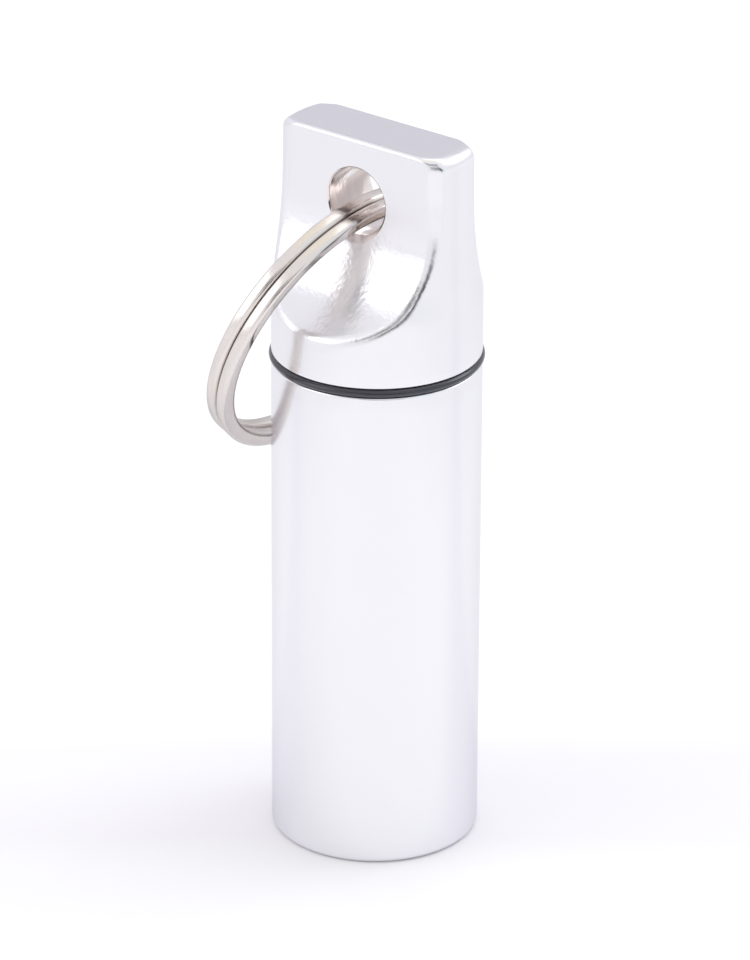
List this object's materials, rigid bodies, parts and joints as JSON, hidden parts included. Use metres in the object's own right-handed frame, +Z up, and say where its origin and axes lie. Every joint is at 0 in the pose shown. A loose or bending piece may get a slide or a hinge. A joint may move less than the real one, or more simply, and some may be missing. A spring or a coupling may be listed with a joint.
{
  "type": "screw-top keyring canister",
  "caption": "Small satin aluminium screw-top canister with a scooped, flat-sided lid, a black seal and a split ring through the lid's cross-hole.",
  "frame": {"origin": "centre of the canister's flat base", "axes": "+Z up along the canister's axis, the lid's flats face -Y and +Y, the cross-hole runs along Y, and the split ring hangs towards -X"},
  "size_m": [0.0186, 0.0237, 0.0573],
  "materials": {
    "satin_aluminium": "fine bead-blasted, clear anodised, milled scoops and cross-hole left bright",
    "black_rubber": "smooth moulded nitrile",
    "nickel_plate": "nickel-plated spring steel wire, satin to bright"
  },
  "bodies": {
    "tube": {"canister": "satin_aluminium"},
    "seal": {"o_ring": "black_rubber"},
    "lid": {"cap": "satin_aluminium"},
    "key_ring": {"split_ring": "nickel_plate"}
  },
  "joints": [
    {"name": "cap_lift", "type": "slide", "parent": "tube", "child": "seal", "axis": [0, 0, 1], "range_m": [0, 0.0068]},
    {"name": "cap_turn", "type": "hinge", "parent": "seal", "child": "lid", "pos_m": [0, 0, 0.0398], "axis": [0, 0, 1], "range_deg": [0, 1620]},
    {"name": "ring_swing", "type": "hinge", "parent": "lid", "child": "key_ring", "pos_m": [-0.00025, 0, 0.0513], "axis": [0, 1, 0], "range_deg": [0, 311.5]}
  ],
  "couplings": [
    {"joint": "cap_lift", "follows": "cap_turn", "m_per_rad": 0.00023873}
  ]
}
